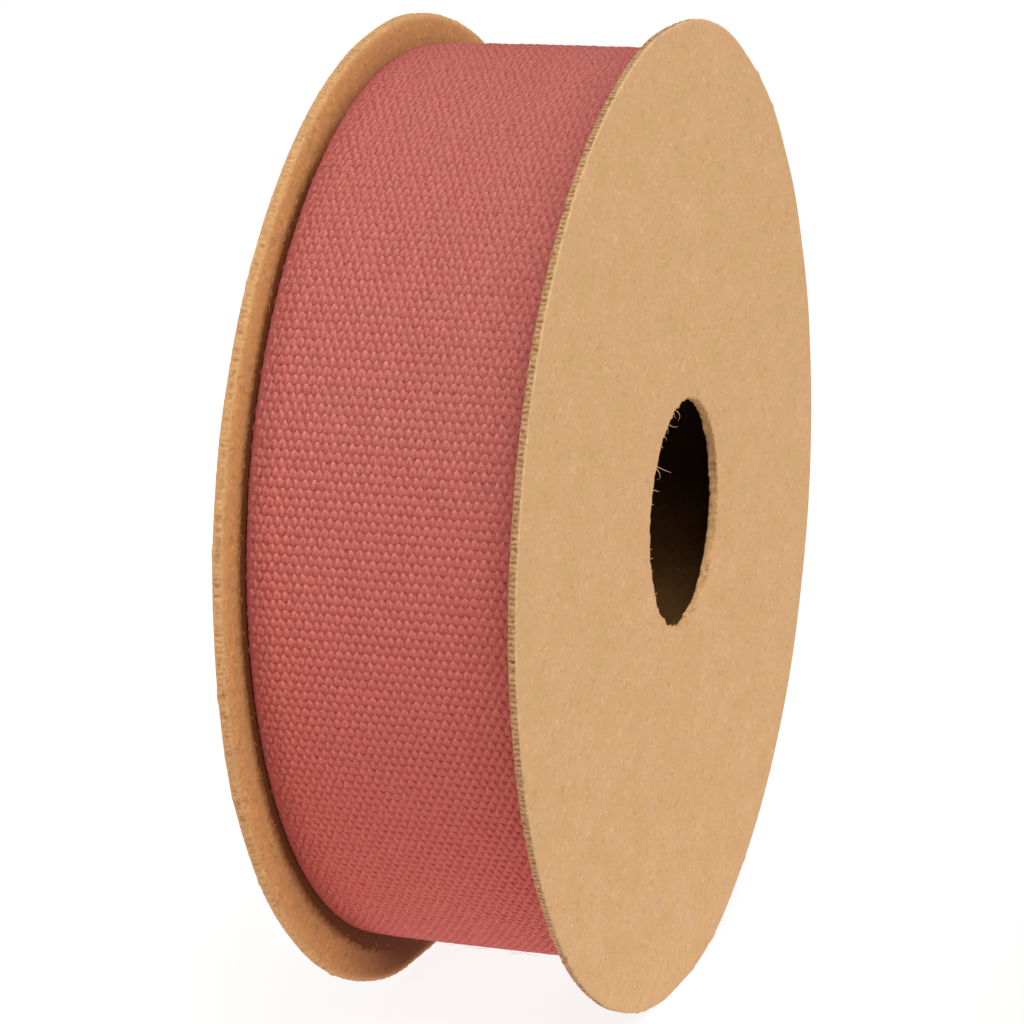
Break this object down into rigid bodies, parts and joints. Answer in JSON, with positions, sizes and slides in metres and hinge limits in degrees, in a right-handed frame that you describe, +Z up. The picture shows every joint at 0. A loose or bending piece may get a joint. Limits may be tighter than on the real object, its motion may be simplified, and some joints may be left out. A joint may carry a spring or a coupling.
{
  "type": "roll of cotton ribbon on a card spool",
  "caption": "Roll of plain woven cotton ribbon wound on a spool of two round card discs and a card tube, for tying, trimming and sewing.",
  "frame": {"origin": "on the surface that the spool stands on, under the middle of the two discs and of the ribbon's width", "axes": "+X along the spool's axis towards the disc whose outer face the picture shows, +Y to the back where the ribbon's end lies, +Z up"},
  "size_m": [0.0274, 0.093, 0.0928],
  "materials": {
    "disc_card": "uncoated kraft card, matt, with fine paper fibres and a punched, slightly furry edge",
    "tube_board": "wound grey-brown paper board, matt",
    "cotton_ribbon": "plain woven dusty-red cotton, matt, with a slight sheen on the raised warp threads"
  },
  "bodies": {
    "root": {"card_disc_right": "disc_card", "card_disc_left": "disc_card", "core_tube": "tube_board", "ribbon_roll": "cotton_ribbon"}
  },
  "joints": []
}
